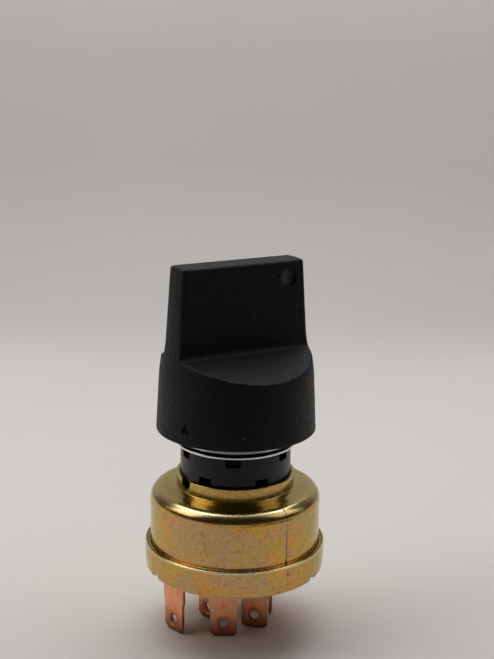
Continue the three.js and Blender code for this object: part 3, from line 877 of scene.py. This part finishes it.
def zinc_plate():
    """Yellow chromate on zinc: gold, olive and orange clouds, with dirt and painted shade, rubbed
    edges and painted highlights, and painted shade on the sides.
    """
    f = Finish("yellow_zinc", metallic=1.0)
    clouds = f.noise(170, 3, 0.58, distortion=1.2)
    drift = f.noise(70, 3, 0.6, distortion=0.6)
    smears = f.noise(300, 4, 0.62, f.stretched(1, 1, 0.45), distortion=0.6)
    mottle = f.noise(1500, 4, 0.7)
    streaks = f.noise(620, 4, 0.65, f.stretched(1, 1, 0.3))
    warm = f.ramp(
        clouds,
        (0.34, (0.50, 0.33, 0.016)),
        (0.44, (0.61, 0.35, 0.014)),
        (0.52, (0.67, 0.32, 0.014)),
        (0.60, (0.62, 0.29, 0.035)),
        (0.68, (0.52, 0.30, 0.10)),
    )
    greyer = f.mix(f.ramp(drift, (0.47, 0.0), (0.60, 0.75)), warm, (0.50, 0.31, 0.12, 1))
    smeared = f.mix(f.ramp(smears, (0.58, 0.0), (0.70, 0.6)), greyer, (0.44, 0.33, 0.19, 1))
    neck = f.ramp(f.height(0.033, 0.037), (0.0, 0.0), (0.8, 0.6))
    olive = f.mix(neck, smeared, (0.47, 0.33, 0.045, 1))
    marked = f.mix(f.ramp(streaks, (0.29, 0.65), (0.38, 0.0)), olive, (0.17, 0.12, 0.05, 1))
    shade = f.ramp(
        mottle, (0.34, (0.76, 0.75, 0.76)), (0.50, (1.0, 1.0, 1.0)), (0.68, (1.16, 1.16, 1.25))
    )
    toned = f.mix(1.0, marked, shade, "MULTIPLY")
    # Darker and greener where the surface turns away towards the outline: painted shade on the
    # sides.
    rim = f.node("ShaderNodeLayerWeight")
    rim.inputs["Blend"].default_value = 0.35
    rim_shade_amount = f.ramp(rim.outputs["Facing"], (0.3, 0.0), (0.9, 0.7))
    rim_shaded = f.mix(rim_shade_amount, toned, (0.27, 0.255, 0.05, 1))
    # Marks above 0 darken: dirt in the seams and painted shade in the gaps. Below 0 they pale the
    # zinc: rubbed plating and painted highlights.
    marks = f.attribute("marks")
    with_dirt_and_shade = f.mix(marks, rim_shaded, (0.03, 0.022, 0.012, 1))
    f.colour(f.mix(f.number("MULTIPLY", marks, -1.0), with_dirt_and_shade, (0.90, 0.82, 0.50, 1)))
    f.roughness(f.ramp(mottle, (0.36, 0.33), (0.50, 0.19), (0.68, 0.27)))
    f.shader.inputs["Specular Tint"].default_value = (0.80, 0.76, 0.45, 1)
    f.shader.inputs["Coat Weight"].default_value = 0.85
    f.shader.inputs["Coat Roughness"].default_value = 0.13
    f.shader.inputs["Coat IOR"].default_value = 1.8
    f.relief((streaks, 0.006), (mottle, 0.007), (drift, 0.05))
    return f.material


def copper():
    """Rolled strip, with its grain up the blade, darker stains and painted shade towards the tips.
    """
    f = Finish("rolled_copper", metallic=0.92)
    grain = f.noise(2600, 4, 0.6, f.stretched(1, 1, 0.05))
    stains = f.noise(260, 3, 0.6)
    specks = f.noise(1700, 3, 0.7)
    base = f.ramp(
        stains, (0.32, (0.84, 0.33, 0.17)), (0.5, (0.97, 0.43, 0.22)), (0.7, (0.99, 0.52, 0.30))
    )
    streaked = f.mix(f.ramp(grain, (0.3, 0.25), (0.5, 0.0)), base, (0.58, 0.22, 0.11, 1))
    spotted = f.mix(f.ramp(specks, (0.62, 0.0), (0.78, 0.5)), streaked, (0.35, 0.17, 0.10, 1))
    # Darker towards the tips: painted shade.
    painted_low_shade = f.ramp(
        f.height(0.0, 0.010),
        (0.04, (0.34, 0.29, 0.28)),
        (0.24, (0.62, 0.56, 0.54)),
        (0.58, (1.0, 1.0, 1.0)),
    )
    low_shaded = f.mix(1.0, spotted, painted_low_shade, "MULTIPLY")
    # The marks paint shade round the holes and at the tips.
    f.colour(f.mix(f.attribute("marks"), low_shaded, (0.10, 0.038, 0.024, 1)))
    f.roughness(f.ramp(stains, (0.3, 0.26), (0.7, 0.38)))
    f.relief((grain, 0.008), (stains, 0.02))
    return f.material


def knob_plastic():
    """Black plastic with a fine grain, haze, a little dust and painted light in the dimple."""
    f = Finish("moulded_black")
    grain = f.noise(2100, 2, 0.6)
    fine = f.noise(4600, 2, 0.5)
    haze = f.noise(120, 4, 0.6)
    dust = f.noise(1350, 1, 0.4)
    base = f.ramp(haze, (0.35, (0.0018, 0.0018, 0.0028)), (0.68, (0.0034, 0.0034, 0.0046)))
    dusty = f.mix(f.ramp(dust, (0.765, 0.0), (0.80, 0.8)), base, (0.09, 0.09, 0.088, 1))
    # The marks paint light into the dimple.
    f.colour(f.mix(f.attribute("marks"), dusty, (0.07, 0.07, 0.074, 1)))
    f.roughness(f.ramp(grain, (0.36, 0.42), (0.64, 0.66)))
    f.shader.inputs["IOR"].default_value = 1.34
    f.shader.inputs["Specular Tint"].default_value = (0.86, 0.90, 1.0, 1)
    f.relief((grain, 0.16), (fine, 0.04))
    return f.material


def black_resin():
    """Smoother black moulding, with faint flow marks."""
    f = Finish("smooth_black")
    flow = f.noise(150, 3, 0.6, f.stretched(1, 1, 0.4), distortion=1.0)
    fine = f.noise(3200, 2, 0.6)
    f.colour(f.ramp(flow, (0.35, (0.003, 0.0028, 0.0036)), (0.7, (0.006, 0.005, 0.0068))))
    f.roughness(f.ramp(flow, (0.3, 0.26), (0.7, 0.38)))
    f.shader.inputs["IOR"].default_value = 1.4
    f.shader.inputs["Specular Tint"].default_value = (0.92, 0.93, 1.0, 1)
    f.relief((flow, 0.03), (fine, 0.004))
    return f.material


def chrome():
    """Bright plating with a trace of haze."""
    f = Finish("bright_chrome", metallic=1.0)
    haze = f.noise(340, 4, 0.65)
    turning = f.noise(1500, 3, 0.6, f.stretched(0.12, 0.12, 1))
    f.colour(f.ramp(haze, (0.35, (0.72, 0.73, 0.75)), (0.7, (0.84, 0.85, 0.87))))
    f.roughness(f.ramp(haze, (0.3, 0.05), (0.7, 0.13)))
    f.relief((turning, 0.004))
    return f.material


def plain(name, colours, roughness, scale, relief, metallic=0.0, stretch=(1, 1, 1)):
    """Two shades clouded together, a changing gloss and a grain that may be stretched."""
    f = Finish(name, metallic=metallic)
    clouds = f.noise(scale * 0.15, 3, 0.6)
    grain = f.noise(scale, 4, 0.65, f.stretched(*stretch))
    base = f.ramp(clouds, (0.35, colours[0]), (0.68, colours[1]))
    shade = f.ramp(grain, (0.30, (0.62, 0.62, 0.62)), (0.62, (1.0, 1.0, 1.0)))
    f.colour(f.mix(1.0, base, shade, "MULTIPLY"))
    f.roughness(f.ramp(grain, (0.3, roughness[0]), (0.7, roughness[1])))
    f.relief((grain, relief), (clouds, relief * 2))
    return f.material


FINISHES = {
    "zinc_plate": zinc_plate(),
    "copper": copper(),
    "knob_plastic": knob_plastic(),
    "black_resin": black_resin(),
    "chrome": chrome(),
    "silver": plain(
        "silver_contact",
        colours=((0.62, 0.61, 0.57), (0.74, 0.73, 0.70)),
        roughness=(0.22, 0.4),
        scale=1800,
        relief=0.006,
        metallic=1.0,
    ),
    "steel": plain(
        "ground_steel",
        colours=((0.36, 0.37, 0.38), (0.50, 0.51, 0.52)),
        roughness=(0.24, 0.42),
        scale=2400,
        relief=0.006,
        metallic=1.0,
        stretch=(0.15, 0.15, 1),
    ),
    "phenolic_board": plain(
        "phenolic_board",
        colours=((0.022, 0.015, 0.011), (0.050, 0.034, 0.024)),
        roughness=(0.5, 0.75),
        scale=900,
        relief=0.03,
    ),
    "gasket_fibre": plain(
        "pressed_fibre",
        colours=((0.14, 0.10, 0.065), (0.22, 0.16, 0.10)),
        roughness=(0.8, 0.95),
        scale=1600,
        relief=0.05,
        stretch=(1, 1, 0.3),
    ),
    "nylon": plain(
        "natural_nylon",
        colours=((0.62, 0.58, 0.48), (0.74, 0.71, 0.62)),
        roughness=(0.42, 0.6),
        scale=1100,
        relief=0.015,
    ),
    "rubber": plain(
        "soft_rubber",
        colours=((0.012, 0.012, 0.012), (0.024, 0.023, 0.022)),
        roughness=(0.7, 0.9),
        scale=2000,
        relief=0.02,
    ),
}


def finish_cad_nodes():
    for entry in frame["record"]["subparts"]:
        mesh = frame["nodes"][entry["node"]].data
        mesh.materials.clear()
        mesh.materials.append(FINISHES[entry["material_slot"]])


# ------------------------------------------------------------------ studio


# The paper, in metres: where it ends in front, where it begins to rise, how high and how wide.
PAPER = {"front": -1.6, "rises_from": 0.20, "radius": 0.34, "wall": 1.6, "half": 2.0}
# Painted light and shade along its length: 0 is 0.4 m in front of the switch, and 1 is 2 m further
# along.
SHADE_FROM, SHADE_SPAN = -0.4, 2.0
PAINTED_PAPER_LIGHT = (
    (0.085, (0.31, 0.30, 0.295)),
    (0.115, (0.41, 0.398, 0.39)),
    (0.14, (0.80, 0.765, 0.75)),
    (0.20, (0.95, 0.91, 0.89)),
    (0.235, (1.0, 0.957, 0.936)),
    (0.27, (0.985, 0.943, 0.922)),
    (0.315, (0.94, 0.90, 0.88)),
    (0.34, (0.79, 0.765, 0.755)),
    (0.38, (0.755, 0.735, 0.73)),
    (0.41, (0.715, 0.698, 0.692)),
    (0.45, (0.765, 0.75, 0.74)),
    (0.47, (0.85, 0.835, 0.82)),
)


def floor_material():
    """Matt paper, with painted light and shade along its length and a painted warm bounce from the
    copper close to the switch.
    """
    f = Finish("studio_paper")
    clouds = f.noise(5, 3, 0.5)
    paper = f.ramp(clouds, (0.35, (0.70, 0.69, 0.675)), (0.65, (0.73, 0.72, 0.705)))
    # Painted light and shade along the paper.
    shade = f.ramp(f.attribute("along"), *PAINTED_PAPER_LIGHT)
    shaded = f.mix(1.0, paper, shade, "MULTIPLY")
    # A warmer tint round the switch: painted bounce light from the copper in the shadow there.
    reach = f.node("ShaderNodeVectorMath", operation="LENGTH")
    f.feed(reach.inputs[0], f.place)
    painted_warm_bounce = f.ramp(reach.outputs["Value"], (0.010, (1.0, 0.87, 0.78)), (0.024, (1.0, 1.0, 1.0)))
    f.colour(f.mix(1.0, shaded, painted_warm_bounce, "MULTIPLY"))
    f.roughness(f.ramp(clouds, (0.3, 0.8), (0.7, 0.9)))
    f.shader.inputs["Specular IOR Level"].default_value = 0.2
    f.relief((f.noise(900, 2), 0.02))
    return f.material


def add_floor():
    """A paper floor that sweeps up into a wall behind."""
    start, radius, half = PAPER["rises_from"], PAPER["radius"], PAPER["half"]
    line = [(y, 0.0) for y in np.linspace(PAPER["front"], start, 91)]
    for angle in np.radians(np.linspace(0, 90, 25))[1:]:
        line.append((start + radius * math.sin(angle), radius * (1 - math.cos(angle))))
    line += [(start + radius, z) for z in np.linspace(radius, PAPER["wall"], 10)[1:]]
    across = np.linspace(-half, half, 9)
    points = [(x, y, z) for y, z in line for x in across]
    lengths = np.hypot(*np.diff(np.array(line), axis=0).T)
    along = PAPER["front"] - SHADE_FROM + np.concatenate([[0], np.cumsum(lengths)])
    along /= SHADE_SPAN
    faces = []
    for i in range(len(line) - 1):
        for j in range(len(across) - 1):
            a = i * len(across) + j
            faces.append((a, a + 1, a + 1 + len(across), a + len(across)))
    mesh = bpy.data.meshes.new("paper_sweep")
    mesh.from_pydata(points, [], faces)
    mesh.shade_smooth()
    layer = mesh.attributes.new("along", "FLOAT", "POINT")
    layer.data.foreach_set("value", np.repeat(along, len(across)).astype(np.float32))
    mesh.materials.append(floor_material())
    made = bpy.data.objects.new("paper_sweep", mesh)
    bpy.context.scene.collection.objects.link(made)


# Where each light is, what it faces, its width and height, and its power.
SOFTBOXES = {
    "overhead": ((-0.035, 0.19, 0.60), (0, 0.08, 0), (0.8, 0.44), 2.8),
    "left": ((-0.55, -0.12, 0.46), (0, 0, 0.02), (0.4, 0.4), 0.9),
    "right": ((0.55, -0.10, 0.46), (0, 0, 0.02), (0.4, 0.4), 0.35),
}
ROOM = {"colour": (1.0, 0.985, 0.96, 1), "dark": 0.02, "light": 0.85, "seen": 0.5}
CAMERA = {
    "place": (0.00225, -0.2715, 0.1393),
    "down": 13.72,
    "turn": 0.8,
    "lens": 67.19,
    "sensor": 36,
}


def softbox(name, place, aim, size, power):
    data = bpy.data.lights.new(name, "AREA")
    data.shape = "RECTANGLE"
    data.size, data.size_y = size
    data.energy = power
    made = bpy.data.objects.new(name, data)
    made.location = place
    made.rotation_mode = "QUATERNION"
    made.rotation_quaternion = (made.location - Vector(aim)).to_track_quat("Z", "Y")
    bpy.context.scene.collection.objects.link(made)


def add_world():
    """A pale room that is dark in front, and an even grey where the camera sees it."""
    world = bpy.data.worlds.new("room")
    bpy.context.scene.world = world
    world.use_nodes = True
    tree = world.node_tree
    link = tree.links.new

    def new(kind, **settings):
        made = tree.nodes.new(kind)
        for key, value in settings.items():
            setattr(made, key, value)
        return made

    toward = new("ShaderNodeVectorMath", operation="DOT_PRODUCT")
    link(new("ShaderNodeTexCoord").outputs["Generated"], toward.inputs[0])
    toward.inputs[1].default_value = (0, 1, 0.5)
    front = new("ShaderNodeMapRange", interpolation_type="SMOOTHSTEP")
    front.inputs["From Min"].default_value = -0.05
    front.inputs["From Max"].default_value = 0.75
    front.inputs["To Min"].default_value = ROOM["dark"]
    front.inputs["To Max"].default_value = ROOM["light"]
    link(toward.outputs["Value"], front.inputs["Value"])
    seen = new("ShaderNodeLightPath").outputs["Is Camera Ray"]
    level = new("ShaderNodeMix")
    link(seen, level.inputs[0])
    link(front.outputs["Result"], level.inputs[2])
    level.inputs[3].default_value = ROOM["seen"]
    background = tree.nodes["Background"]
    background.inputs["Color"].default_value = ROOM["colour"]
    link(level.outputs[0], background.inputs["Strength"])


def add_camera():
    data = bpy.data.cameras.new("camera")
    data.lens, data.sensor_width = CAMERA["lens"], CAMERA["sensor"]
    data.clip_start = 0.01
    made = bpy.data.objects.new("camera", data)
    made.location = CAMERA["place"]
    made.rotation_mode = "ZYX"
    made.rotation_euler = (math.radians(90 - CAMERA["down"]), 0, math.radians(CAMERA["turn"]))
    bpy.context.scene.collection.objects.link(made)
    bpy.context.scene.camera = made


def main():
    finish_cad_nodes()
    add_knob(FINISHES["knob_plastic"])
    for name, spec in BLADES.items():
        add_blade(name, spec, FINISHES["copper"])
    add_turned("housing_can", housing_can, "zinc_plate")
    add_turned("crimp_ring", crimp_ring, "zinc_plate")
    add_turned("panel_spacer", panel_spacer, "black_resin")
    add_turned("bezel_nut", bezel_nut, "chrome")
    add_bridge_springs(FINISHES["steel"])
    add_floor()
    add_world()
    for name, spec in SOFTBOXES.items():
        softbox(name, *spec)
    add_camera()
    bpy.context.scene.view_settings.view_transform = "Standard"


main()
